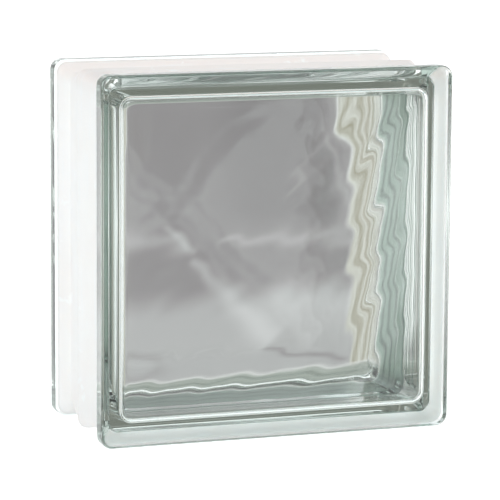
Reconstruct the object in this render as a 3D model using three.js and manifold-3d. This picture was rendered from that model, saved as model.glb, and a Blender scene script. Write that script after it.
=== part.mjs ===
// Hollow glass block, 8 x 8 x 4 inch nominal size, standing on its edge lips.
//
// Two pressed glass cups, alike, are turned face to face and fused along their rims. Each cup has a
// thick lip round its face, with a sloping back, a recessed mortar channel that rises from there to
// the fused seam, and waves pressed into the inner side of its face. A small bead runs round the
// hollow along the seam. A thin white coat covers the channel, where the mortar goes.
//
// Millimetres. X runs across the face, Y from the front face to the back face, Z up. The origin is at
// the middle of the block's underside.

import * as THREE from 'three';
import { mergeVertices } from 'three/addons/utils/BufferGeometryUtils.js';
import Module from 'manifold-3d';

// ---- Driving dimensions ----

const BLOCK_SIDE = 197; // width and height over the lips
const BLOCK_DEPTH = 98; // from the front face to the back face

const LIP_WIDTH = 11; // how far a lip runs back from its face
const LIP_CORNER_RADIUS = 6; // corners of the face's outline
const ARRIS_RADIUS = 2; // rounding along the lip's two edges

const SHOULDER_SLOPE = 40; // degrees the lip's back leans from square to the depth
const CHANNEL_DEPTH = 7.5; // deepest step down from the lip, at its root
const CHANNEL_CORNER_RADIUS = 5; // corners of the outline there
const ROOT_FILLET = 3; // between the lip's back and the channel's floor
const SEAM_SETBACK = 2; // how far the fused seam stays inside the lips

const FACE_THICKNESS = 7.6; // glass at the flat rim round the waves
const WALL_THICKNESS = 4.1; // glass between the channel and the hollow, beside the face
const WALL_DRAFT = 1.5; // how much the hollow widens on each side from the face to the seam
const HOLLOW_CORNER_RADIUS = 7;
const HOLLOW_CORNER_TIGHTENING = 0.35; // loss of that radius for each mm in from the side wall
const HOLLOW_FILLET = 4.5; // between the hollow's side walls and the inner side of the face
const BEAD_HEIGHT = 1.5; // fused bead that runs round the hollow along the seam
const BEAD_REACH = 6; // from the seam to the bead's foot

const WAVE_HEIGHT = 0.26; // half the height from trough to crest
const WAVE_LENGTH = 21; // from crest to crest
const WAVE_ANGLE = 133; // degrees from the X axis to the way the waves travel
const WAVE_START = 1.2; // radians of the wave's phase already run at the middle of the face
const CREST_SHARE = 0.26; // height of the overtone that sharpens the crests, against the main wave
const WAVE_BEND = 1; // how far a crest swings, in radians of the wave's own phase
const WAVE_BEND_LENGTH = 74; // from one swing to the next, along the crests
const RIPPLE_SHARE = 0.18; // height of the short ripples against the main wave
const RIPPLE_LENGTH = 13;
const RIPPLE_ANGLE = 166; // degrees from the X axis to the way the ripples travel
const WAVE_MARGIN = 13; // width of the strip in which the waves die out
const CALM_HEIGHT = 70; // height over which the waves grow from the bottom side
const CALM_SHARE = 0.25; // share of their height that they keep at the bottom

const COAT_THICKNESS = 0.4;
const COAT_START = 0.6; // bare strip of the lip's back, beside its arris
const COAT_CLEARANCE = 0.05; // between the coat's underside and the glass

// ---- Fineness of the facets ----

const CORNER_STEPS = 3; // half the number of segments in a corner of an outline
const ARRIS_STEPS = 3;
const FILLET_STEPS = 4;
const BEAD_STEPS = 3;
const WAVE_CELLS = 38; // cells of the wave surface along each side
const SAME_POINT = 1e-5; // points nearer than this are one

const HALF_DEPTH = BLOCK_DEPTH / 2;
const HALF_SIDE = BLOCK_SIDE / 2;

const wasm = await Module();
wasm.setup();

// ---- Outlines and lofts ----

// Rounded square, set in from the lips' outline by inset, with its middle at mid-height.
function outline(inset, cornerRadius) {
  const half = HALF_SIDE - inset;
  const arm = half - cornerRadius;
  const shape = new THREE.Shape();
  shape.moveTo(-arm, -half);
  shape.lineTo(arm, -half);
  shape.absarc(arm, -arm, cornerRadius, -Math.PI / 2, 0, false);
  shape.lineTo(half, arm);
  shape.absarc(arm, arm, cornerRadius, 0, Math.PI / 2, false);
  shape.lineTo(-arm, half);
  shape.absarc(-arm, arm, cornerRadius, Math.PI / 2, Math.PI, false);
  shape.lineTo(-half, -arm);
  shape.absarc(-arm, -arm, cornerRadius, Math.PI, 1.5 * Math.PI, false);
  const points = shape.getPoints(CORNER_STEPS);
  return points.filter((point, i) => point.distanceTo(points.at(i - 1)) > SAME_POINT);
}

// One station of a loft: an outline at depth y.
function station(y, inset, cornerRadius) {
  return { y, ring: outline(inset, cornerRadius) };
}

// Quads between each ring and the next, facing away from the Y axis where y grows.
function skinIndices(ringCount, pointCount, closed) {
  const indices = [];
  const spans = closed ? ringCount : ringCount - 1;
  for (let span = 0; span < spans; span++) {
    const here = span * pointCount;
    const there = ((span + 1) % ringCount) * pointCount;
    for (let j = 0; j < pointCount; j++) {
      const k = (j + 1) % pointCount;
      indices.push(here + j, there + j, here + k);
      indices.push(here + k, there + j, there + k);
    }
  }
  return indices;
}

function ringPositions(stations) {
  return stations.flatMap(({ y, ring }) => ring.flatMap((point) => [point.x, y, HALF_SIDE + point.y]));
}

function meshGeometry(positions, indices) {
  const geometry = new THREE.BufferGeometry();
  geometry.setAttribute('position', new THREE.Float32BufferAttribute(positions, 3));
  geometry.setIndex(indices);
  return geometry;
}

// Solid through the stations, in order of growing y, with a flat cap at each end.
function loft(stations) {
  const pointCount = stations[0].ring.length;
  const indices = skinIndices(stations.length, pointCount, false);
  const lastRing = (stations.length - 1) * pointCount;
  const firstCap = THREE.ShapeUtils.triangulateShape(stations[0].ring, []);
  const lastCap = THREE.ShapeUtils.triangulateShape(stations[stations.length - 1].ring, []);
  firstCap.forEach(([a, b, c]) => indices.push(a, b, c));
  lastCap.forEach(([a, b, c]) => indices.push(lastRing + a, lastRing + c, lastRing + b));
  return meshGeometry(ringPositions(stations), indices);
}

// Closed band through the stations, the last joined to the first.
function loftBand(stations) {
  const indices = skinIndices(stations.length, stations[0].ring.length, true);
  return meshGeometry(ringPositions(stations), indices);
}

// ---- Section of the block's edge, as [depth y, inset from the lips' outline] ----

function arc(centreY, centreInset, radius, fromDegrees, toDegrees, steps) {
  const points = [];
  for (let i = 0; i <= steps; i++) {
    const angle = THREE.MathUtils.degToRad(fromDegrees + ((toDegrees - fromDegrees) * i) / steps);
    points.push([centreY + radius * Math.cos(angle), centreInset + radius * Math.sin(angle)]);
  }
  return points;
}

const LIP_BACK = -HALF_DEPTH + LIP_WIDTH;

// From the front face, round the lip.
function lipSection() {
  return [
    ...arc(-HALF_DEPTH + ARRIS_RADIUS, ARRIS_RADIUS, ARRIS_RADIUS, 180, 270, ARRIS_STEPS),
    ...arc(LIP_BACK - ARRIS_RADIUS, ARRIS_RADIUS, ARRIS_RADIUS, 270, 360 - SHOULDER_SLOPE, ARRIS_STEPS),
  ];
}

// From the foot of the lip's sloping back, round its root fillet and along the channel's floor to the
// seam. The fillet touches the floor and the shoulder's line, which leaves the lip's rear arris.
function channelSection() {
  const slope = THREE.MathUtils.degToRad(SHOULDER_SLOPE);
  const rounds = ARRIS_RADIUS + ROOT_FILLET;
  const drop = CHANNEL_DEPTH - rounds + rounds * Math.sin(slope);
  const rootY = LIP_BACK - ARRIS_RADIUS + rounds * Math.cos(slope) + drop * Math.tan(slope);
  const rootInset = CHANNEL_DEPTH - ROOT_FILLET;
  return [
    ...arc(rootY, rootInset, ROOT_FILLET, 180 - SHOULDER_SLOPE, 90, FILLET_STEPS),
    [0, SEAM_SETBACK],
  ];
}

// The outline's corners open out from the lip's radius to the channel's as the section goes deeper.
function edgeCornerRadius(inset) {
  const share = inset / CHANNEL_DEPTH;
  return THREE.MathUtils.lerp(LIP_CORNER_RADIUS, CHANNEL_CORNER_RADIUS, share);
}

function edgeStation([y, inset]) {
  return station(y, inset, edgeCornerRadius(inset));
}

// ---- Hollow of one cup ----

const HOLLOW_INSET = CHANNEL_DEPTH + WALL_THICKNESS;
const FLOOR_Y = -HALF_DEPTH + FACE_THICKNESS;

// Fillet from the flat rim of the face, side wall widening towards the seam, and the seam's bead.
function hollowSolid() {
  const filletTop = FLOOR_Y + HOLLOW_FILLET;
  const fillet = arc(filletTop, HOLLOW_INSET + HOLLOW_FILLET, HOLLOW_FILLET, 180, 270, FILLET_STEPS);
  const bead = [];
  for (let i = 0; i <= BEAD_STEPS; i++) {
    const y = -BEAD_REACH * (1 - i / BEAD_STEPS);
    const wallInset = HOLLOW_INSET - WALL_DRAFT * (1 - y / filletTop);
    bead.push([y, wallInset + BEAD_HEIGHT * THREE.MathUtils.smoothstep(y, -BEAD_REACH, 0)]);
  }
  const pastSeam = [1, bead[BEAD_STEPS][1]];
  const section = [...fillet, ...bead, pastSeam];
  return loft(section.map(([y, inset]) => station(y, inset, cornerInHollow(inset))));
}

function cornerInHollow(inset) {
  return HOLLOW_CORNER_RADIUS - HOLLOW_CORNER_TIGHTENING * (inset - HOLLOW_INSET);
}

// ---- Pressed waves ----

// Distance along a heading in the plane of the face.
function along(x, z, degrees) {
  const heading = THREE.MathUtils.degToRad(degrees);
  return x * Math.cos(heading) + z * Math.sin(heading);
}

// A slanting wave with sharp, winding crests, and shorter ripples across it, from -1 to 1.
function waveField(x, z) {
  const turn = 2 * Math.PI;
  const swing = WAVE_BEND * Math.sin((turn * along(x, z, WAVE_ANGLE + 90)) / WAVE_BEND_LENGTH);
  const phase = WAVE_START + (turn * along(x, z, WAVE_ANGLE)) / WAVE_LENGTH + swing;
  const wave = Math.sin(phase) - CREST_SHARE * Math.cos(2 * phase);
  const ripple = Math.sin((turn * along(x, z, RIPPLE_ANGLE)) / RIPPLE_LENGTH + swing);
  return (wave + RIPPLE_SHARE * ripple) / (1 + CREST_SHARE + RIPPLE_SHARE);
}

// Height of the waves above the flat rim. They are calmer towards the bottom and die out in the margin
// along the hollow's sides, where the wave surface dips just under the rim.
function waveHeight(x, z) {
  const dip = 0.15;
  const reach = HALF_SIDE - HOLLOW_INSET - HOLLOW_FILLET;
  const fromSide = reach - Math.max(Math.abs(x), Math.abs(z));
  const fade = THREE.MathUtils.smoothstep(fromSide, 0, WAVE_MARGIN);
  const growth = THREE.MathUtils.smoothstep(z + reach, 0, CALM_HEIGHT);
  const height = WAVE_HEIGHT * THREE.MathUtils.lerp(CALM_SHARE, 1, growth);
  return fade * height * (1 + waveField(x, z)) - (1 - fade) * dip;
}

// The glass of the waves: a slab just inside the face, its inner side carrying the relief.
function waveSolid() {
  const span = BLOCK_SIDE - 2 * HOLLOW_INSET;
  const slab = FACE_THICKNESS / 2;
  const geometry = new THREE.BoxGeometry(span, slab, span, WAVE_CELLS, 1, WAVE_CELLS);
  const position = geometry.attributes.position;
  for (let i = 0; i < position.count; i++) {
    const x = position.getX(i);
    const z = position.getZ(i);
    const relief = position.getY(i) > 0 ? waveHeight(x, z) : 0;
    position.setY(i, FLOOR_Y - slab / 2 + position.getY(i) + relief);
    position.setZ(i, z + HALF_SIDE);
  }
  return geometry;
}

// ---- Solids ----

function toManifold(geometry) {
  const bare = geometry.clone();
  bare.deleteAttribute('normal');
  bare.deleteAttribute('uv');
  const merged = mergeVertices(bare, SAME_POINT);
  const mesh = new wasm.Mesh({
    numProp: 3,
    vertProperties: new Float32Array(merged.attributes.position.array),
    triVerts: new Uint32Array(merged.index.array),
  });
  return new wasm.Manifold(mesh);
}

function toGeometry(solid) {
  const mesh = solid.getMesh();
  const geometry = meshGeometry(mesh.vertProperties, Array.from(mesh.triVerts));
  geometry.computeVertexNormals();
  return geometry;
}

// One pressed cup, its face towards -Y and its rim on the plane y = 0.
function cupGeometry() {
  const outside = toManifold(loft([...lipSection(), ...channelSection()].map(edgeStation)));
  const hollow = toManifold(hollowSolid()).subtract(toManifold(waveSolid()));
  return toGeometry(outside.subtract(hollow));
}

// ---- Coat ----

// Moves each point of a section off the glass by distance, square to the section.
function lifted(section, distance) {
  return section.map(([y, inset], i) => {
    const [y0, inset0] = section[Math.max(i - 1, 0)];
    const [y1, inset1] = section[Math.min(i + 1, section.length - 1)];
    const run = Math.hypot(y1 - y0, inset1 - inset0);
    return [y + (distance * (inset1 - inset0)) / run, inset - (distance * (y1 - y0)) / run];
  });
}

// From near the top of one lip's back, along the channel, to the same place at the other lip.
function coatedSection() {
  const slope = THREE.MathUtils.degToRad(SHOULDER_SLOPE);
  const [arrisY, arrisInset] = lipSection().at(-1);
  const start = [arrisY + COAT_START * Math.sin(slope), arrisInset + COAT_START * Math.cos(slope)];
  const frontPart = [start, ...channelSection()];
  const backPart = frontPart.slice(0, -1).map(([y, inset]) => [-y, inset]);
  return [...frontPart, ...backPart.reverse()];
}

function coatGeometry() {
  const section = coatedSection();
  const underside = lifted(section, COAT_CLEARANCE);
  const topSide = lifted(section, COAT_CLEARANCE + COAT_THICKNESS);
  return loftBand([...topSide, ...underside.reverse()].map(edgeStation));
}

// ---- Materials and scene graph ----

const glass = () => new THREE.MeshStandardMaterial({ color: 0xc4d6cd, roughness: 0.05, metalness: 0 });
const whiteCoat = () => new THREE.MeshStandardMaterial({ color: 0xf3efec, roughness: 0.6, metalness: 0 });

function namedMesh(name, geometry, material) {
  const mesh = new THREE.Mesh(geometry, material);
  mesh.name = name;
  return mesh;
}

const group = new THREE.Group();
const cup = cupGeometry();

const frontHalf = namedMesh('front_half', cup, glass());
group.add(frontHalf);

const backHalf = namedMesh('back_half', cup, glass());
backHalf.rotation.z = Math.PI;
group.add(backHalf);

group.add(namedMesh('edge_coating', coatGeometry(), whiteCoat()));

export default group;
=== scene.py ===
"""Hollow glass block with wave-pressed faces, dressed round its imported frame.

Lengths are in metres in the frame's own axes: X across the face, Y from the front face to the back
face, Z up, with the origin at the middle of the underside.
"""

import math

import bpy
import numpy as np
from bpy.props import FloatProperty, FloatVectorProperty, IntProperty, PointerProperty
from bpy.types import Operator, Panel, PropertyGroup
from mathutils import Matrix, Vector


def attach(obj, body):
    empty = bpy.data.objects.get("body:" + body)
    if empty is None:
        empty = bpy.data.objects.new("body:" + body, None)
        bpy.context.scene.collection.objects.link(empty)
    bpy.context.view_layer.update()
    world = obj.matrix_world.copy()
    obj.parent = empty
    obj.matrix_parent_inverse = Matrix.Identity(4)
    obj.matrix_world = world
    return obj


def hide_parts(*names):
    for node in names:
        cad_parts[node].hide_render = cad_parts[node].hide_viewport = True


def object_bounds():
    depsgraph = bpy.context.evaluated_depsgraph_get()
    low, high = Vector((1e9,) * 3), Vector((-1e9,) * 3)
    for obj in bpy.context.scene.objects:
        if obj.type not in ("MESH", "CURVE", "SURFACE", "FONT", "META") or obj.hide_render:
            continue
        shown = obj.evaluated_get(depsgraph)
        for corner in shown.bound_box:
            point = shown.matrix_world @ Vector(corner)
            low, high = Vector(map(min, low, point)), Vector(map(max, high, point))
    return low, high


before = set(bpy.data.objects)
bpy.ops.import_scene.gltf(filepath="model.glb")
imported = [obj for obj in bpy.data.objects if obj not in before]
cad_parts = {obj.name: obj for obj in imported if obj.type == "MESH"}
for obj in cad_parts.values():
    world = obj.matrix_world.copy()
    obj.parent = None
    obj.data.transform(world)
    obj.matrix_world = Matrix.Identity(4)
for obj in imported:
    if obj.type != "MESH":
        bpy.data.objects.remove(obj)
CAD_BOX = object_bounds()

bl_info = {
    "name": "Hollow Glass Block",
    "version": (1, 0, 0),
    "blender": (4, 5, 0),
    "location": "3D View > Sidebar > Glass Block",
    "description": "Builds a fused glass block with pressed waves, its edge coat and a studio",
    "category": "Add Mesh",
}

BLOCK_SIDE = CAD_BOX[1][0] - CAD_BOX[0][0]
BLOCK_DEPTH = CAD_BOX[1][1] - CAD_BOX[0][1]
MM = 0.001

# Steps along each part of a section, from the front face to the seam
ARRIS_STEPS = 8
LIP_STEPS = 4
SHOULDER_STEPS = 4
ROOT_STEPS = 10
RUN_STEPS = 5
SEAM_BEAD_STEPS = 6
HOLLOW_FILLET_STEPS = 12
INNER_BEAD_STEPS = 8

WELD_TOLERANCE = 0.001 * MM

# Each mm that the hollow's section moves inwards takes this many mm off its corner radius
HOLLOW_CORNER_TAPER = 0.35

# Swell of the smooth faces: the strip in which it dies out, and the lengths of its three waves
SWELL_MARGIN = 12 * MM
SWELL_ACROSS = 17 * MM
SWELL_UP = 19 * MM
SWELL_DRIFT = 31 * MM


# ---------------------------------------------------------------- settings


def length(name, default, description):
    """A length setting in metres."""
    return FloatProperty(
        name=name, default=default, description=description, unit="LENGTH", precision=5
    )


def share(name, default, description):
    """A setting from 0 to 1."""
    return FloatProperty(
        name=name, default=default, description=description, min=0, max=1, subtype="FACTOR"
    )


def number(name, default, description):
    """A plain number setting."""
    return FloatProperty(name=name, default=default, description=description)


def colour(name, default, description):
    """A linear colour setting."""
    return FloatVectorProperty(
        name=name, default=default, description=description, size=3, min=0, max=1, subtype="COLOR"
    )


class GlassBlockSizes(PropertyGroup):
    """Section of the block's edge and hollow."""

    side: length("Side", BLOCK_SIDE, "Width and height over the lips")
    depth: length("Depth", BLOCK_DEPTH, "From the front face to the back face")
    lip_width: length("Lip width", 11 * MM, "How far a lip runs back from its face")
    lip_corner: length("Lip corner", 6 * MM, "Corner radius of the face's outline")
    arris: length("Arris", 2 * MM, "Rounding along the lip's edges")
    shoulder_slope: FloatProperty(
        name="Shoulder slope", default=math.radians(40), subtype="ANGLE", unit="ROTATION",
        description="How far the lip's back leans from square to the depth",
    )
    channel_depth: length("Channel depth", 7.5 * MM, "Step from the lip down to the channel's root")
    channel_corner: length("Channel corner", 5 * MM, "Corner radius of the channel's outline")
    root_fillet: length("Root fillet", 3 * MM, "Between the lip's back and the channel's floor")
    seam_setback: length("Seam setback", 2 * MM, "How far the seam stays inside the lips")
    seam_bead: length("Seam bead", 0.35 * MM, "Height of the fused bead along the seam, outside")
    seam_bead_reach: length("Seam bead reach", 1.6 * MM, "From the seam to the outer bead's foot")
    inner_bead: length("Inner bead", 1.5 * MM, "Height of the fused bead along the seam, inside")
    inner_bead_reach: length("Inner bead reach", 6 * MM, "From the seam to the inner bead's foot")
    face_thickness: length("Face thickness", 7.6 * MM, "Glass at the flat rim round the waves")
    wall_thickness: length("Wall thickness", 4.1 * MM, "Glass between the channel and the hollow")
    wall_draft: length("Wall draft", 1.5 * MM, "How much the hollow widens towards the seam")
    hollow_corner: length("Hollow corner", 7 * MM, "Corner radius of the hollow")
    hollow_fillet: length("Hollow fillet", 4.5 * MM, "Between the hollow's walls and the faces")
    coat_thickness: length("Coat thickness", 0.4 * MM, "White coat in the channel")
    coat_start: length("Coat start", 0.6 * MM, "Bare strip of the lip's back, beside its arris")
    coat_clearance: length("Coat clearance", 0.05 * MM, "Gap between the glass and its coat")
    cells: IntProperty(
        name="Cells", default=100, min=16, max=100, description="Cells along each side of a face"
    )


class GlassBlockWaves(PropertyGroup):
    """Waves pressed on the inner side of each face."""

    height: length("Wave height", 0.26 * MM, "Half the height from trough to crest")
    wave_length: length("Wave length", 21 * MM, "From crest to crest")
    angle: FloatProperty(
        name="Wave angle", default=math.radians(133), subtype="ANGLE", unit="ROTATION",
        description="From the X axis to the way the waves travel",
    )
    start: number("Wave start", 1.2, "The wave's phase at the face's middle, in radians")
    crest_share: share("Crest share", 0.26, "Height of the overtone that sharpens the crests")
    bend: number("Wave bend", 1.0, "How far a crest swings, in radians of its phase")
    bend_length: length("Bend length", 74 * MM, "From one swing to the next, along the crests")
    ripple_share: share("Ripple share", 0.18, "Height of the short ripples against the main wave")
    ripple_length: length("Ripple length", 13 * MM, "From one short ripple to the next")
    ripple_angle: FloatProperty(
        name="Ripple angle", default=math.radians(166), subtype="ANGLE", unit="ROTATION",
        description="From the X axis to the way the ripples travel",
    )
    margin: length("Wave margin", 13 * MM, "Width of the strip in which the waves die out")
    calm: length("Calm height", 70 * MM, "Height over which the waves grow from the bottom wall")
    calm_share: share("Calm share", 0.25, "Height of the waves beside the bottom wall")
    face_swell: length("Face swell", 0.02 * MM, "Faint unevenness of the smooth outer faces")


class GlassBlockFinish(PropertyGroup):
    """Colours and surfaces."""

    glass_ior: number("Glass IOR", 1.52, "Refractive index of the glass")
    glass_tint: colour("Glass tint", (0.60, 0.665, 0.625), "What one unit of depth lets through")
    glass_density: number("Glass density", 8.5, "Strength of the tint")
    coat_white: colour("Coat white", (0.96, 0.93, 0.92), "Bonding coat")
    # Also the painted shade along the coat's top
    coat_pink: colour("Coat pink", (0.91, 0.84, 0.82), "Thicker places of the coat")
    coat_blue: colour("Coat blue", (0.92, 0.945, 0.96), "Thinner places of the coat")
    # Painted shade where the coat lies on the glass: dark grey-green, with darker wavy lines
    backed_shade: colour("Backed", (0.38, 0.47, 0.42), "Coat seen through the glass that it lies on")
    backed_line: colour("Backed line", (0.16, 0.22, 0.19), "Wavy lines in the backed coat")


class GlassBlockStage(PropertyGroup):
    """Camera, light and floor."""

    camera_place: FloatVectorProperty(
        name="Camera place", default=(-0.5520, -1.5454, 0.3613), size=3, subtype="TRANSLATION",
        unit="LENGTH", description="Where the camera stands",
    )
    camera_yaw: FloatProperty(
        name="Camera yaw", default=math.radians(19.68), subtype="ANGLE", unit="ROTATION",
        description="Turn to the right of the Y axis",
    )
    camera_pitch: FloatProperty(
        name="Camera pitch", default=math.radians(9.25), subtype="ANGLE", unit="ROTATION",
        description="Tilt below the level",
    )
    camera_roll: FloatProperty(
        name="Camera roll", default=math.radians(0.38), subtype="ANGLE", unit="ROTATION",
        description="Turn about the line of sight",
    )
    lens: number("Lens", 219.6, "Focal length in mm on 36 mm")
    side_light: number("Side light", 1.1, "Light of the room's walls")
    top_light: number("Top light", 0.62, "Light of the room's ceiling")
    key_power: number("Key power", 5, "Watts of the lamp on the left")
    fill_power: number("Fill power", 5.5, "Watts of the lamp on the right")
    cool_top: colour("Cool top", (0.83, 1.0, 1.0), "Light from overhead that glass shows")
    cool_floor: colour("Cool floor", (0.95, 1.0, 0.995), "Light from the floor that glass shows")


class GlassBlockSettings(PropertyGroup):
    """All settings of the block and its stage."""

    sizes: PointerProperty(type=GlassBlockSizes)
    waves: PointerProperty(type=GlassBlockWaves)
    finish: PointerProperty(type=GlassBlockFinish)
    stage: PointerProperty(type=GlassBlockStage)


# ---------------------------------------------------------------- surfaces


def eased(t):
    """0 below 0, 1 above 1, and a soft step between."""
    t = np.clip(t, 0, 1)
    return t * t * (3 - 2 * t)


def side_steps(cells):
    """Numbers from -1 to 1, closer together towards both ends: half t and half sin(pi t / 2)."""
    t = np.linspace(-1, 1, cells + 1)
    return 0.5 * t + 0.5 * np.sin(0.5 * np.pi * t)


def rim_directions(cells):
    """Points round the unit square, 4 x cells of them, from corner (-1, -1) anticlockwise."""
    g = side_steps(cells)[:-1]
    one = np.ones_like(g)
    return np.concatenate(
        [
            np.stack([g, -one], 1),
            np.stack([one, g], 1),
            np.stack([-g, one], 1),
            np.stack([-one, -g], 1),
        ]
    )


def rounded_reach(directions, half, radius):
    """How far each direction goes before it meets a rounded square.

    On a straight side the reach is half. In a corner it is where the direction's line meets the
    circle of that radius round the corner's centre.
    """
    d = np.abs(directions)
    arm = half - radius
    straight = d.min(-1) * half <= arm
    along = d.sum(-1) * arm
    length2 = (d**2).sum(-1)
    inside = np.maximum(along**2 - length2 * (2 * arm**2 - radius**2), 0)
    return np.where(straight, half, (along + np.sqrt(inside)) / np.where(length2 == 0, 1, length2))


def rings(section, directions, side):
    """A section carried round the block: row i is the rounded square of station i.

    A station is (depth y, inset from the lips' outline, corner radius).
    """
    y, inset, radius = (section[:, i, None] for i in range(3))
    reach = rounded_reach(directions[None], side / 2 - inset, radius)
    x = directions[None, :, 0] * reach
    z = directions[None, :, 1] * reach + side / 2
    return np.stack([x, np.broadcast_to(y, x.shape), z], -1)


def ring_faces(rows, count, closed=False):
    """Quads between each ring and the next, facing outwards where y grows with the rows."""
    row = np.arange(rows if closed else rows - 1)[:, None]
    here = np.arange(count)[None]
    there = (here + 1) % count
    up = (row + 1) % rows
    quads = [row * count + here, up * count + here, up * count + there, row * count + there]
    return np.stack(np.broadcast_arrays(*quads), -1).reshape(-1, 4)


def disc(y, inset, radius, side, cells):
    """Grid over a rounded square: a square grid with each point scaled by its direction's reach."""
    g = side_steps(cells)
    u, v = np.meshgrid(g, g, indexing="ij")
    size = np.maximum(np.abs(u), np.abs(v))
    safe = np.where(size == 0, 1, size)
    direction = np.stack([u / safe, v / safe], -1)
    reach = rounded_reach(direction, side / 2 - inset, radius)
    x = u * reach
    z = v * reach
    return np.stack([x, y(x, z), z + side / 2], -1)


def disc_faces(cells):
    """Quads of the grid over a face, facing towards -Y."""
    i, j = np.meshgrid(np.arange(cells), np.arange(cells), indexing="ij")
    n = cells + 1
    corner = i * n + j
    return np.stack([corner, corner + n, corner + n + 1, corner + 1], -1).reshape(-1, 4)


def turned_back(points):
    """The same points turned half round the block's upright middle line."""
    return points * np.array([-1, -1, 1])


def arc(y, inset, radius, start, end, steps):
    """Quarter round of a section, as rows of (y, inset)."""
    angle = np.radians(np.linspace(start, end, steps + 1))
    return np.stack([y + radius * np.cos(angle), inset + radius * np.sin(angle)], 1)


def straight(start, end, steps):
    """Straight run of a section without its two ends."""
    t = np.linspace(0, 1, steps + 1)[1:-1, None]
    return np.array(start) * (1 - t) + np.array(end) * t


def run_depths(start, end, steps):
    """Depths along a straight run after its start, closer together towards both ends of the run."""
    return start + (end - start) * (0.5 - 0.5 * np.cos(np.pi * np.arange(1, steps + 1) / steps))


def weld(pieces):
    """Joins surfaces that share edges into one list of points and faces."""
    points = np.concatenate([p.reshape(-1, 3) for p, _ in pieces])
    starts = np.cumsum([0] + [p.reshape(-1, 3).shape[0] for p, _ in pieces[:-1]])
    faces = np.concatenate([f + s for (_, f), s in zip(pieces, starts)])
    key = np.round(points / WELD_TOLERANCE).astype(np.int64)
    _, first, back = np.unique(key, axis=0, return_index=True, return_inverse=True)
    return points[first], back.reshape(-1)[faces]


def mark_bonded_side(piece, sizes):
    """Attribute "bonded": 1 where the surface looks inwards, at the glass, and 0 elsewhere."""
    mesh = piece.data
    count = len(mesh.vertices)
    points, normals = np.empty(3 * count), np.empty(3 * count)
    mesh.vertices.foreach_get("co", points)
    mesh.vertex_normals.foreach_get("vector", normals)
    from_axis = points.reshape(-1, 3) * (1, 0, 1) - (0, 0, sizes.side / 2)
    inwards = (from_axis * normals.reshape(-1, 3)).sum(1) < 0
    bonded = mesh.attributes.new("bonded", "FLOAT", "POINT")
    bonded.data.foreach_set("value", inwards.astype(float))


def mesh_piece(name, points, faces):
    """Smooth-shaded mesh object at the origin. A quad that has lost a side becomes a triangle."""
    real = faces != np.roll(faces, 1, axis=1)
    three, four = (real.sum(1) == n for n in (3, 4))
    triangles = faces[three][real[three]].reshape(-1, 3)
    mesh = bpy.data.meshes.new(name)
    mesh.from_pydata(points.tolist(), [], faces[four].tolist() + triangles.tolist())
    mesh.polygons.foreach_set("use_smooth", np.ones(len(mesh.polygons), dtype=bool))
    mesh.validate()
    mesh.update()
    piece = bpy.data.objects.new(name, mesh)
    bpy.context.collection.objects.link(piece)
    return piece


# ---------------------------------------------------------------- the block's shapes


def wave_field(x, z, waves):
    """A slanting wave with winding, sharpened crests, and shorter ripples across it, from -1 to 1.

    The wave is sin p less a share of cos 2p, where the phase p grows along the way the waves
    travel and swings from side to side along the crests.
    """
    turn = 2 * np.pi

    def along(angle):
        return x * np.cos(angle) + z * np.sin(angle)

    swing = waves.bend * np.sin(turn * along(waves.angle + np.pi / 2) / waves.bend_length)
    phase = turn * along(waves.angle) / waves.wave_length + swing + waves.start
    wave = np.sin(phase) - waves.crest_share * np.cos(2 * phase)
    ripple = np.sin(turn * along(waves.ripple_angle) / waves.ripple_length + swing)
    return (wave + waves.ripple_share * ripple) / (1 + waves.crest_share + waves.ripple_share)


def wave_height(x, z, sizes, waves):
    """Height of the waves above the flat rim: they rise from it over the margin along the walls."""
    reach = sizes.side / 2 - sizes.channel_depth - sizes.wall_thickness - sizes.hollow_fillet
    inside = reach - np.maximum(np.abs(x), np.abs(z))
    grown = waves.calm_share + (1 - waves.calm_share) * eased((z + reach) / waves.calm)
    fade = eased(inside / waves.margin) * grown
    return fade * waves.height * (1 + wave_field(x, z, waves))


def edge_corner(inset, sizes):
    """Corner radius of the outline: it opens out from the lip's to the channel's with the depth."""
    opened = (sizes.channel_corner - sizes.lip_corner) * inset / sizes.channel_depth
    return sizes.lip_corner + opened


def bead_rise(y, foot):
    """Share of a bead's height at each depth: 0 up to its foot, then a half cosine to the seam."""
    return np.where(y > foot, 0.5 + 0.5 * np.cos(np.pi * y / foot), 0)


def channel_section(sizes):
    """From the foot of the lip's sloped back, round the root and along the floor to the seam.

    The root's centre lies where the round touches both the shoulder's line, which leaves the lip's
    rear arris at the slope's angle, and the floor at the channel's depth.
    """
    slope = sizes.shoulder_slope
    both = sizes.arris + sizes.root_fillet
    drop = sizes.channel_depth - both + both * math.sin(slope)
    lip_back = -sizes.depth / 2 + sizes.lip_width - sizes.arris
    fillet = arc(
        lip_back + both * math.cos(slope) + drop * math.tan(slope),
        sizes.channel_depth - sizes.root_fillet,
        sizes.root_fillet,
        180 - math.degrees(slope),
        90,
        ROOT_STEPS,
    )
    start, foot = fillet[-1, 0], -sizes.seam_bead_reach
    y = np.concatenate(
        [run_depths(start, foot, RUN_STEPS), np.linspace(foot, 0, SEAM_BEAD_STEPS + 1)[1:]]
    )
    inset = sizes.channel_depth + (sizes.seam_setback - sizes.channel_depth) * (y - start) / -start
    floor = np.stack([y, inset - sizes.seam_bead * bead_rise(y, foot)], 1)
    return np.concatenate([fillet, floor])


def outer_section(sizes):
    """From the rim of the smooth face, round the lip, to the seam."""
    front = -sizes.depth / 2
    back = front + sizes.lip_width
    r = sizes.arris
    front_arris = arc(front + r, r, r, 180, 270, ARRIS_STEPS)
    back_arris = arc(back - r, r, r, 270, 360 - math.degrees(sizes.shoulder_slope), ARRIS_STEPS)
    side = straight(front_arris[-1], back_arris[0], LIP_STEPS)
    channel = channel_section(sizes)
    shoulder = straight(back_arris[-1], channel[0], SHOULDER_STEPS)
    return np.concatenate([front_arris, side, back_arris, shoulder, channel])


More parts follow.
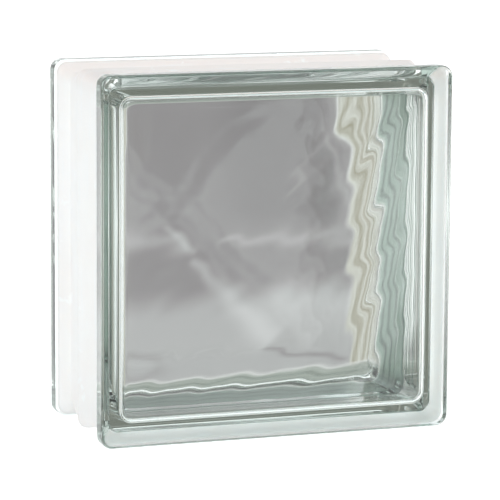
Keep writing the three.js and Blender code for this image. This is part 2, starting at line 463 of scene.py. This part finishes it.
def hollow_section(sizes):
    """From the flat rim round the waves, round the fillet and along the side wall to the seam."""
    floor = -sizes.depth / 2 + sizes.face_thickness
    inset = sizes.channel_depth + sizes.wall_thickness
    r = sizes.hollow_fillet
    fillet = arc(floor + r, inset + r, r, 180, 270, HOLLOW_FILLET_STEPS)
    start, foot = fillet[-1, 0], -sizes.inner_bead_reach
    y = np.concatenate(
        [run_depths(start, foot, RUN_STEPS), np.linspace(foot, 0, INNER_BEAD_STEPS + 1)[1:]]
    )
    wall = inset - sizes.wall_draft * (y - start) / -start
    return np.concatenate([fillet, np.stack([y, wall + sizes.inner_bead * bead_rise(y, foot)], 1)])


def with_corners(section, radius):
    """Adds each station's corner radius to a section."""
    return np.column_stack([section, radius])


def outer_shell(sizes, waves):
    """Both smooth faces and everything between them, facing outwards."""
    directions = rim_directions(sizes.cells)
    section = outer_section(sizes)
    section = with_corners(section, edge_corner(section[:, 1], sizes))
    half = rings(section, directions, sizes.side)
    rim_inset, rim_radius = section[0, 1:]

    def face(x, z):
        inside = sizes.side / 2 - rim_inset - np.maximum(np.abs(x), np.abs(z))
        fade = np.clip(inside / SWELL_MARGIN, 0, 1)
        drift = 1.3 * np.sin(z / SWELL_DRIFT)
        swell = np.sin(x / SWELL_ACROSS + drift) * np.sin(z / SWELL_UP + 0.6)
        return -sizes.depth / 2 + waves.face_swell * fade**2 * (1 + swell)

    cap = disc(face, rim_inset, rim_radius, sizes.side, sizes.cells)
    quads = ring_faces(len(section), len(directions))
    caps = disc_faces(sizes.cells)
    return [(half, quads), (cap, caps), (turned_back(half), quads), (turned_back(cap), caps)]


def inner_shell(sizes, waves):
    """The hollow: waves on both faces and the side walls between, facing into the hollow.

    Its corner radius shrinks as the section moves inwards, down to a third.
    """
    directions = rim_directions(sizes.cells)
    section = hollow_section(sizes)
    start = sizes.channel_depth + sizes.wall_thickness
    tapered = sizes.hollow_corner - HOLLOW_CORNER_TAPER * (section[:, 1] - start)
    section = with_corners(section, np.maximum(tapered, sizes.hollow_corner / 3))
    half = rings(section, directions, sizes.side)
    rim_inset, rim_radius = section[0, 1:]

    def floor(x, z):
        return -sizes.depth / 2 + sizes.face_thickness + wave_height(x, z, sizes, waves)

    cap = disc(floor, rim_inset, rim_radius, sizes.side, sizes.cells)
    quads = ring_faces(len(section), len(directions))[:, ::-1]
    caps = disc_faces(sizes.cells)[:, ::-1]
    return [(half, quads), (cap, caps), (turned_back(half), quads), (turned_back(cap), caps)]


def coat_shell(sizes):
    """Closed band over the channel: its section, lifted by the clearance and by the coat."""
    slope = sizes.shoulder_slope
    bare = sizes.coat_start
    lip_back = -sizes.depth / 2 + sizes.lip_width
    start = (
        lip_back - sizes.arris * (1 - math.cos(slope)) + bare * math.sin(slope),
        sizes.arris * (1 - math.sin(slope)) + bare * math.cos(slope),
    )
    channel = channel_section(sizes)
    front = np.concatenate([[start], straight(start, channel[0], SHOULDER_STEPS), channel])
    line = np.concatenate([front, front[:-1][::-1] * np.array([-1, 1])])
    run = np.gradient(line, axis=0)
    run /= np.linalg.norm(run, axis=1, keepdims=True)
    away = np.stack([run[:, 1], -run[:, 0]], 1)
    top = line + away * (sizes.coat_clearance + sizes.coat_thickness)
    edge = line + away * (sizes.coat_clearance + sizes.coat_thickness * 0.5)
    lifted = line + away * sizes.coat_clearance
    loop = np.concatenate([edge[:1], top[1:-1], edge[-1:], lifted[::-1]])
    section = with_corners(loop, edge_corner(loop[:, 1], sizes))
    directions = rim_directions(sizes.cells)
    return rings(section, directions, sizes.side), ring_faces(len(section), len(directions), True)


# ---------------------------------------------------------------- finishes

# Painted shade: wavy dark lines in the coat where glass lies on it. Depths from the seam are
# folded into the span, so that a line comes back at every length of it.
LINE_SPAN = (6.5 * MM, 14 * MM)
LINE_DEPTH = 10 * MM
LINE_EDGE = (0.4 * MM, 2.2 * MM)
LINE_SWAY = 4 * MM

# Where the coat's colours change: depths at the end of the channel's floor, heights over which
# the painted shade on the glass side grows darker towards the bottom, and heights of the painted
# shade along the top
FLOOR_END = (29 * MM, 33 * MM)
BOTTOM_SHADE_HEIGHTS = (12 * MM, 20 * MM)
SHADED_TOP_HEIGHTS = (184 * MM, 192 * MM)

PATCH_TINT = (0.985, 0.995, 0.99)
SMEAR_WHITE = (0.985, 0.98, 0.975)


class Nodes:
    """Short ways to lay out the nodes of a material or a world."""

    def __init__(self, owner, output="ShaderNodeOutputMaterial"):
        self.owner = owner
        owner.use_nodes = True
        self.tree = owner.node_tree
        self.tree.nodes.clear()
        self.output = self.tree.nodes.new(output)

    def add(self, kind, inputs=None, **settings):
        """A node with its settings, each input linked to a socket or set to a value."""
        node = self.tree.nodes.new(kind)
        for key, value in settings.items():
            setattr(node, key, value)
        for key, value in (inputs or {}).items():
            if isinstance(value, bpy.types.NodeSocket):
                self.tree.links.new(value, node.inputs[key])
            else:
                node.inputs[key].default_value = value
        return node

    def finish(self, shader, socket="Surface"):
        """Links a shader to the output, and gives back what owns the nodes."""
        self.tree.links.new(shader.outputs[0], self.output.inputs[socket])
        return self.owner

    def places(self):
        """Object coordinates, in metres."""
        return self.add("ShaderNodeTexCoord").outputs["Object"]

    def axes(self, vector):
        """The X, Y and Z of a vector."""
        return self.add("ShaderNodeSeparateXYZ", {"Vector": vector}).outputs

    def attribute(self, name):
        """The outputs of a mesh attribute."""
        return self.add("ShaderNodeAttribute", attribute_name=name).outputs

    def math(self, operation, first, *others):
        """One sum or comparison, or a row of them from left to right."""
        for other in others or (0.0,):
            first = self.add("ShaderNodeMath", {0: first, 1: other}, operation=operation).outputs[0]
        return first

    def noise(self, scale, detail, roughness, vector=None):
        """Soft noise from 0 to 1, with scale as patches to the metre."""
        where = vector or self.places()
        node = self.add(
            "ShaderNodeTexNoise",
            {"Vector": where, "Scale": scale, "Detail": detail, "Roughness": roughness},
        )
        return node.outputs["Fac"]

    def ramp(self, value, low, high, first, last):
        """Straight ramp from first, where the value is low, to last, and level past both ends."""
        node = self.add(
            "ShaderNodeMapRange",
            {"Value": value, "From Min": low, "From Max": high, "To Min": first, "To Max": last},
        )
        return node.outputs["Result"]

    def blend(self, factor, first, second):
        """The first colour at a factor of 0 and the second at 1."""
        node = self.add("ShaderNodeMix", {"Factor": factor}, data_type="RGBA")
        sockets = [s for s in node.inputs if s.type == "RGBA"]
        for socket, value in zip(sockets, (first, second)):
            if isinstance(value, bpy.types.NodeSocket):
                self.tree.links.new(value, socket)
            else:
                socket.default_value = (*value, 1)
        return [s for s in node.outputs if s.type == "RGBA"][0]

    def bump(self, height, distance, strength=1.0):
        """Normal of a surface raised by a height from 0 to 1 over the distance."""
        inputs = {"Height": height, "Distance": distance, "Strength": strength}
        return self.add("ShaderNodeBump", inputs).outputs["Normal"]


def pressed_glass(finish):
    """Clear pressed glass with a faint green depth, fire-polished, with faint mould texture."""
    n = Nodes(bpy.data.materials.new("pressed_glass"))
    patches = n.noise(14, 3, 0.5)
    shader = n.add(
        "ShaderNodeBsdfPrincipled",
        {
            "Base Color": n.blend(patches, (1.0, 1.0, 1.0), PATCH_TINT),
            "Roughness": n.ramp(patches, 0.3, 0.8, 0.0, 0.01),
            "Normal": n.bump(n.noise(90, 1, 0.4), 0.002 * MM),
            "IOR": finish.glass_ior,
            "Transmission Weight": 1.0,
        },
    )
    depth = n.add(
        "ShaderNodeVolumeAbsorption",
        {"Color": (*finish.glass_tint, 1), "Density": finish.glass_density},
    )
    n.finish(depth, "Volume")
    return n.finish(shader)


def bonding_coat(finish):
    """Thin matt white coat, brushed on: patches of pink and blue, streaks, smears and small pits.

    Along the top it turns to a darker pink, a painted shade. Where it looks at the glass of the
    channel's floor, it is painted shade: dark grey-green with wavy dark lines, darker towards the
    bottom.
    """
    n = Nodes(bpy.data.materials.new("bonding_coat"))
    patches = n.noise(24, 4, 0.55)
    drawn_out = n.add("ShaderNodeMapping", {"Vector": n.places(), "Scale": (20, 420, 20)})
    streaks = n.noise(1, 3, 0.5, drawn_out.outputs["Vector"])
    _, y, z = n.axes(n.places())
    white, pink, blue = tuple(finish.coat_white), tuple(finish.coat_pink), tuple(finish.coat_blue)
    base = n.blend(n.ramp(patches, 0.4, 0.75, 0, 0.6), white, pink)
    # Painted shade: the coat turns to the darker pink along the top
    base = n.blend(n.ramp(z, *SHADED_TOP_HEIGHTS, 0, 0.95), base, pink)
    base = n.blend(n.ramp(n.noise(55, 4, 0.7), 0.62, 0.68, 0, 0.8), base, SMEAR_WHITE)
    base = n.blend(n.ramp(streaks, 0.55, 0.75, 0, 0.4), base, blue)
    depth = n.math("ABSOLUTE", y)
    swayed = n.math("ADD", depth, n.ramp(n.noise(30, 3, 0.6), 0, 1, -LINE_SWAY, LINE_SWAY))
    first, last = LINE_SPAN
    folded = n.add("ShaderNodeMath", {0: swayed, 1: last, 2: first}, operation="WRAP").outputs[0]
    from_line = n.math("ABSOLUTE", n.math("SUBTRACT", folded, LINE_DEPTH))
    line_colour = tuple(finish.backed_line)
    # Painted shade where the coat lies on the glass, darker towards the bottom, in wavy lines too
    plain = n.blend(n.ramp(z, *BOTTOM_SHADE_HEIGHTS, 0.6, 0), tuple(finish.backed_shade), line_colour)
    backed_shade = n.blend(n.ramp(from_line, *LINE_EDGE, 1, 0), plain, line_colour)
    on_floor = n.math("MULTIPLY", n.attribute("bonded")["Fac"], n.ramp(depth, *FLOOR_END, 1, 0))
    shader = n.add(
        "ShaderNodeBsdfPrincipled",
        {
            "Base Color": n.blend(on_floor, base, backed_shade),
            "Roughness": n.ramp(patches, 0.3, 0.7, 0.5, 0.75),
            "Normal": n.bump(n.ramp(n.noise(900, 2, 0.5), 0.3, 0.7, 0, 1), 0.06 * MM, 0.6),
            "Subsurface Weight": 1.0,
            "Subsurface Radius": (1.0, 0.95, 0.9),
            "Subsurface Scale": 0.8 * MM,
        },
    )
    return n.finish(shader)


# ---------------------------------------------------------------- stage

# Floor: its matt colour, and how far it is filled up for ordinary light and for camera and glass
FLOOR_COLOUR = (0.64, 0.65, 0.65)
FLOOR_FILL = (0.3, 0.8)
FLOOR_SIDES = 96

# Lamps, in metres
KEY_PLACE = (-1.6, -1.1, 0.9)
FILL_PLACE = (1.7, -0.5, 0.9)
LAMP_AIM = (0, 0, 0.1)
LAMP_SIZE = 1.2

SENSOR_WIDTH = 36

# Cards: their gap to the faces, how far they reach past the outline, and cells along a side
CARD_GAP = 2 * MM
CARD_MARGIN = 12 * MM
CARD_CELLS = 200


def white_room(stage):
    """World: a white room, dimmer overhead.

    Camera, glossy and transmitted rays see it at a strength of 1, and the last two a little cooler
    overhead.
    """
    world = bpy.data.worlds.new("white_room")
    bpy.context.scene.world = world
    n = Nodes(world, "ShaderNodeOutputWorld")
    path = n.add("ShaderNodeLightPath").outputs
    up = n.axes(n.add("ShaderNodeTexCoord").outputs["Generated"])["Z"]
    by_glass = n.math("MAXIMUM", path["Is Glossy Ray"], path["Is Transmission Ray"])
    seen = n.math("MAXIMUM", path["Is Camera Ray"], by_glass)
    light = n.ramp(up, 0, 1, stage.side_light, stage.top_light)
    overhead = n.math("MULTIPLY", by_glass, n.ramp(up, 0, 1, 0, 1))
    back = n.add(
        "ShaderNodeBackground",
        {
            "Color": n.blend(overhead, (1, 1, 1), tuple(stage.cool_top)),
            "Strength": n.ramp(seen, 0, 1, light, 1.0),
        },
    )
    n.finish(back)


def stage_sheet(name, points, faces, finish):
    """Flat sheet of the stage."""
    mesh = bpy.data.meshes.new(name)
    mesh.from_pydata(points.tolist(), [], faces.tolist())
    mesh.materials.append(finish)
    sheet = bpy.data.objects.new(name, mesh)
    bpy.context.collection.objects.link(sheet)
    return sheet


def floor_finish(stage):
    """Pale floor that keeps shadows and is filled up to white where it is unshaded."""
    n = Nodes(bpy.data.materials.new("pale_floor"))
    matt = n.add("ShaderNodeBsdfDiffuse", {"Color": (*FLOOR_COLOUR, 1)})
    path = n.add("ShaderNodeLightPath").outputs
    by_glass = n.math("MAXIMUM", path["Is Glossy Ray"], path["Is Transmission Ray"])
    seen = n.math("MAXIMUM", path["Is Camera Ray"], by_glass)
    fill = n.add(
        "ShaderNodeEmission",
        {
            "Color": n.blend(by_glass, (1, 1, 1), tuple(stage.cool_floor)),
            "Strength": n.ramp(seen, 0, 1, *FLOOR_FILL),
        },
    )
    n.owner.cycles.emission_sampling = "NONE"
    return n.finish(n.add("ShaderNodeAddShader", {0: matt.outputs[0], 1: fill.outputs[0]}))


def pale_floor(stage, radius=14, z=-0.6 * MM):
    """Wide round floor just under the block."""
    angle = np.linspace(0, 2 * np.pi, FLOOR_SIDES, endpoint=False)
    rim = np.stack([radius * np.cos(angle), radius * np.sin(angle), np.full(FLOOR_SIDES, z)], 1)
    stage_sheet("floor", rim, np.arange(FLOOR_SIDES)[None], floor_finish(stage))


def shade_finish():
    """Shows the card's colours to light out of the glass.

    Light straight through the hollow sees "shade", light that the glass has mirrored sees "rim".
    The card is clear to light from a matt surface, to light that has crossed only one face, and,
    as far as the alpha of "rim" says, to light that was mirrored and crossed several surfaces.
    """
    n = Nodes(bpy.data.materials.new("shade_card"))
    path = n.add("ShaderNodeLightPath").outputs
    mirrored = n.ramp(path["Glossy Depth"], 0, 1, 0, 1)
    crossed = n.ramp(path["Transmission Depth"], 2, 3, 0, 1)
    shade, rim = n.attribute("shade"), n.attribute("rim")
    # The card glows with its painted shade, light and reflections
    glow = n.add("ShaderNodeEmission", {"Color": n.blend(mirrored, shade["Color"], rim["Color"])})
    near = n.math("MINIMUM", n.math("SUBTRACT", 1.0, crossed), n.math("SUBTRACT", 1.0, mirrored))
    sideways = n.math("MULTIPLY", n.math("MINIMUM", crossed, mirrored), rim["Alpha"])
    clear = n.math("MAXIMUM", path["Diffuse Depth"], near, sideways)
    through = n.add("ShaderNodeBsdfTransparent")
    n.owner.cycles.emission_sampling = "NONE"
    return n.finish(
        n.add("ShaderNodeMixShader", {"Fac": clear, 1: glow.outputs[0], 2: through.outputs[0]})
    )


def stroke(x, z, start, end, width, spread, fade):
    """Soft stroke of light, 1 along its line and bell-shaped across it and past its ends."""
    start, end = np.array(start), np.array(end)
    run = end - start
    length2 = (run**2).sum()
    along = ((x - start[0]) * run[0] + (z - start[1]) * run[1]) / length2
    off = ((x - start[0]) * run[1] - (z - start[1]) * run[0]) / math.sqrt(length2)
    past = np.maximum(np.maximum(-along, along - 1), 0) * math.sqrt(length2)
    reach = width + (spread - width) * np.clip(along, 0, 1)
    return np.exp(-((off / reach) ** 2) - (past / fade) ** 2)


def over(first, second, weight):
    """The second colour laid over the first, as thick as the weight says."""
    return first + (second - first) * weight[..., None]


def line(distance, width=0.9):
    """1 on a line and 0 away from it."""
    return np.exp(-((distance / width) ** 2))


def streaks(across, along):
    """Soft streaks from 0 to 1 that run along a side, at a distance across from it, in mm.

    Two waves across the strip, about 7.4 and 2.7 mm long, sway and swing as they run along it.
    """
    sway = 1.1 * np.sin(along / 17 + 0.6) + 0.6 * np.sin(along / 7.3)
    broad = np.sin((across + sway) * 0.85 + 0.5 * np.sin(along / 23))
    fine = np.sin((across - sway) * 2.3 + 1.5 * np.sin(along / 31))
    return 0.5 + 0.33 * broad + 0.17 * fine


# The card's grey, a painted shade, and what the patches and the swirl add to it: painted light
# where they raise it, painted shade where they lower it
GREY_LEVEL = 0.268
LOW_GLOW = 0.20
DIM_PATCH = -0.045
SIDE_GLOW = 0.12
SWIRL = -0.07

# Where a patch begins and where it is full, in mm up from the underside or across from the middle
LOW_GLOW_UP = (70, 50)
DIM_PATCH_ACROSS = (-12, 18)
DIM_PATCH_UP = (94, 109)
SIDE_GLOW_UP = (92, 104)
STRIP_WIDENS_UP = (140, 152)

# How much the glow's upper edge and the bottom strip rise for each mm to the right
LOW_GLOW_SLANT = 0.05
BOTTOM_SLANT = 0.03

# The swirl's middle, half width and half height in mm, and how thick its line is against them
SWIRL_MIDDLE = (-52, 23)
SWIRL_SIZE = (17, 7)
SWIRL_LINE = 0.3

# Widths in mm of what runs round the card's edge
SIDE_STRIP, WIDER_STRIP = 21.5, 8.5
SIDE_GLOW_WIDTH = 15
TOP_STRIP, BOTTOM_STRIP = 20, 15
MIRROR_BORDER = 10.5
CORNER_BLEND = 12

# Strength of the pale line along the green strips, and of the one along the beige strips: what each
# stretch of height adds to it, where that begins and where it is full
GREEN_LINE = 0.8
BEIGE_LINE = ((0.4, 30, 55), (0.6, 115, 130))

# Colours of the card's painted shade, light and reflections. The grey goes from the first tint to
# the second between the two levels.
GREY_TINTS = np.array([[1.0, 0.955, 0.975], [0.985, 1.0, 1.0]])
TINT_LEVELS = (0.30, 0.50)
BEIGE, BEIGE_STREAK = np.array([[0.36, 0.34, 0.25], [0.34, 0.38, 0.41]])
GREEN, GREEN_STREAK = np.array([[0.23, 0.27, 0.235], [0.16, 0.165, 0.155]])
PALE_LINE = np.array([0.75, 0.77, 0.75])
# Plain dark border that mirrored light sees: a painted reflection
MIRRORED = np.array([0.195, 0.21, 0.175])

# Strokes of light on the card, in mm: start, end, width at each, fade past the ends, strength
LIGHT_STROKES = (
    ((-15, 80), (30, 36), 3, 10, 3, 0.165),
    ((34, 60), (86, 50), 10, 16, 8, 0.08),
    ((3, 92), (88, 91), 2, 6, 4, 0.13),
    ((-70, 96), (-24, 92), 6.5, 5, 4, 0.14),
    ((-33, 102), (-17, 88), 1.8, 3, 3, 0.13),
    ((40, 121), (62, 143), 1.3, 3.5, 5, 0.07),
    ((64, 146), (74, 114), 1.6, 3, 4, 0.08),
    ((30, 28), (70, 22), 1.3, 1.6, 5, -0.14),
    ((-66, 26), (-34, 24), 1.5, 2.5, 5, 0.05),
)


def step(value, start, end):
    """0 on the near side of the start, 1 past the end, and a soft step between them."""
    return eased((value - start) / (end - start))


def shade_colours(x, z, side):
    """The card's two sets of colours at x and z, in mm from its middle and from the underside.

    Both are painted: grey shade with soft strokes of light, paler downwards, and round it a pale
    line and streaked strips, beige at the sides and green along top and bottom, painted light and
    shade. The second set, which mirrored light sees, is a painted reflection with a plain dark
    border, and its alpha is how far the card is clear to mirrored light: at the sides, inside that
    border.
    """
    level = GREY_LEVEL + LOW_GLOW * step(z - LOW_GLOW_SLANT * x, *LOW_GLOW_UP)
    level = level + DIM_PATCH * step(x, *DIM_PATCH_ACROSS) * step(z, *DIM_PATCH_UP)
    for *shape, strength in LIGHT_STROKES:
        level = level + strength * stroke(x, z, *shape)
    swirl = np.hypot((x - SWIRL_MIDDLE[0]) / SWIRL_SIZE[0], (z - SWIRL_MIDDLE[1]) / SWIRL_SIZE[1])
    level = level + SWIRL * line(swirl - 1, SWIRL_LINE)
    across = np.abs(x) - side / 2 + SIDE_STRIP + WIDER_STRIP * step(z, *STRIP_WIDENS_UP)
    level = level + SIDE_GLOW * step(across, -SIDE_GLOW_WIDTH, 0) * step(z, *SIDE_GLOW_UP)
    grey = level[..., None] * over(*GREY_TINTS, step(level, *TINT_LEVELS))
    along = np.maximum(z - side + TOP_STRIP, BOTTOM_STRIP + BOTTOM_SLANT * x - z)
    colour = over(grey, BEIGE + streaks(across, z)[..., None] * BEIGE_STREAK, np.clip(across, 0, 1))
    colour = over(colour, GREEN + streaks(along, x)[..., None] * GREEN_STREAK, np.clip(along, 0, 1))
    strength = sum(added * step(z, start, end) for added, start, end in BEIGE_LINE)
    colour = over(colour, PALE_LINE, np.maximum(strength * line(across), GREEN_LINE * line(along)))
    from_middle = np.abs(x), np.abs(z - side / 2)
    border = np.maximum(*from_middle) - side / 2 + MIRROR_BORDER
    rim = over(colour, MIRRORED, np.clip(border, 0, 1))
    sideways = np.clip((from_middle[0] - from_middle[1]) / CORNER_BLEND + 0.5, 0, 1)
    clear = sideways * np.clip(-border, 0, 1)
    solid = np.ones_like(x)
    return [np.concatenate([c, a[..., None]], -1) for c, a in ((colour, solid), (rim, clear))]


def shade_cards(sizes):
    """A shaded card just clear of each face, a little larger, met only by rays out of the glass."""
    # The cards glow with painted shade, painted light and painted reflections
    reach = sizes.side / 2 + CARD_MARGIN
    t = np.linspace(-reach, reach, CARD_CELLS + 1)
    x, z = np.meshgrid(t, t + sizes.side / 2, indexing="ij")
    y = np.full_like(x, sizes.depth / 2 + CARD_GAP)
    back = np.stack([x, y, z], -1)
    shade, rim = shade_colours(x / MM, z / MM, sizes.side / MM)
    finish = shade_finish()
    for name, points in (("shade_card_front", turned_back(back)), ("shade_card_back", back)):
        card = stage_sheet(name, points.reshape(-1, 3), disc_faces(CARD_CELLS), finish)
        for layer, colours in (("shade", shade), ("rim", rim)):
            values = card.data.attributes.new(layer, "FLOAT_COLOR", "POINT").data
            values.foreach_set("color", colours.ravel())
        for kind in ("camera", "diffuse", "glossy", "shadow", "volume_scatter"):
            setattr(card, "visible_" + kind, False)


def soft_box(name, place, power):
    """Square area lamp that looks at the block."""
    lamp = bpy.data.lights.new(name, "AREA")
    lamp.size = LAMP_SIZE
    lamp.energy = power
    holder = bpy.data.objects.new(name, lamp)
    bpy.context.collection.objects.link(holder)
    holder.location = place
    holder.rotation_euler = (Vector(LAMP_AIM) - Vector(place)).to_track_quat("-Z", "Y").to_euler()


def place_camera(stage):
    """Camera with its line of sight from yaw and pitch, then rolled about it."""
    yaw, pitch, roll = stage.camera_yaw, stage.camera_pitch, stage.camera_roll
    ahead = Vector(
        (math.sin(yaw) * math.cos(pitch), math.cos(yaw) * math.cos(pitch), -math.sin(pitch))
    )
    right = Vector((math.cos(yaw), -math.sin(yaw), 0))
    up = right.cross(ahead)
    r = math.cos(roll) * right + math.sin(roll) * up
    u = -math.sin(roll) * right + math.cos(roll) * up
    camera = bpy.data.cameras.new("camera")
    camera.lens = stage.lens
    camera.sensor_width = SENSOR_WIDTH
    camera.clip_end = 100
    holder = bpy.data.objects.new("camera", camera)
    bpy.context.collection.objects.link(holder)
    turn = Matrix((r, u, -ahead)).transposed().to_4x4()
    holder.matrix_world = Matrix.Translation(stage.camera_place) @ turn
    bpy.context.scene.camera = holder


# ---------------------------------------------------------------- operators


class GLASSBLOCK_OT_press_body(Operator):
    """Builds the fused glass body, outer and inner surface in one piece"""

    bl_idname = "glassblock.press_body"
    bl_label = "Press glass body"

    def execute(self, context):
        settings = context.scene.glass_block
        shells = outer_shell(settings.sizes, settings.waves) + inner_shell(
            settings.sizes, settings.waves
        )
        body = mesh_piece("glass_body", *weld(shells))
        body.data.materials.append(pressed_glass(settings.finish))
        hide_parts("front_half", "back_half")
        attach(body, "root")
        return {"FINISHED"}


class GLASSBLOCK_OT_coat_edges(Operator):
    """Lays the white bonding coat into the channel round the four edges"""

    bl_idname = "glassblock.coat_edges"
    bl_label = "Coat edges"

    def execute(self, context):
        settings = context.scene.glass_block
        coat = mesh_piece("bonding_coat", *weld([coat_shell(settings.sizes)]))
        mark_bonded_side(coat, settings.sizes)
        coat.data.materials.append(bonding_coat(settings.finish))
        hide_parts("edge_coating")
        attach(coat, "root")
        return {"FINISHED"}


class GLASSBLOCK_OT_set_stage(Operator):
    """Sets up the pale floor, the white room, the lamps and the camera"""

    bl_idname = "glassblock.set_stage"
    bl_label = "Set stage"

    def execute(self, context):
        stage = context.scene.glass_block.stage
        context.scene.view_settings.view_transform = "Standard"
        light_paths = context.scene.cycles
        light_paths.blur_glossy = 0
        light_paths.max_bounces = 24
        light_paths.transmission_bounces = 24
        light_paths.glossy_bounces = 16
        light_paths.diffuse_bounces = 6
        white_room(stage)
        pale_floor(stage)
        shade_cards(context.scene.glass_block.sizes)
        soft_box("key_box", KEY_PLACE, stage.key_power)
        soft_box("fill_box", FILL_PLACE, stage.fill_power)
        place_camera(stage)
        return {"FINISHED"}


class GLASSBLOCK_PT_panel(Panel):
    """Lists the block's pieces and its stage"""

    bl_idname = "GLASSBLOCK_PT_panel"
    bl_label = "Glass Block"
    bl_space_type = "VIEW_3D"
    bl_region_type = "UI"
    bl_category = "Glass Block"

    def draw(self, context):
        settings = context.scene.glass_block
        for group in (settings.sizes, settings.waves, settings.finish, settings.stage):
            box = self.layout.box()
            for name in group.__annotations__:
                box.prop(group, name)
        for operator in (
            GLASSBLOCK_OT_press_body,
            GLASSBLOCK_OT_coat_edges,
            GLASSBLOCK_OT_set_stage,
        ):
            self.layout.operator(operator.bl_idname)


CLASSES = (
    GlassBlockSizes,
    GlassBlockWaves,
    GlassBlockFinish,
    GlassBlockStage,
    GlassBlockSettings,
    GLASSBLOCK_OT_press_body,
    GLASSBLOCK_OT_coat_edges,
    GLASSBLOCK_OT_set_stage,
    GLASSBLOCK_PT_panel,
)


def register():
    for cls in CLASSES:
        bpy.utils.register_class(cls)
    bpy.types.Scene.glass_block = PointerProperty(type=GlassBlockSettings)


def unregister():
    del bpy.types.Scene.glass_block
    for cls in reversed(CLASSES):
        bpy.utils.unregister_class(cls)


def main():
    register()
    bpy.ops.glassblock.press_body()
    bpy.ops.glassblock.coat_edges()
    bpy.ops.glassblock.set_stage()


if __name__ == "__main__":
    main()
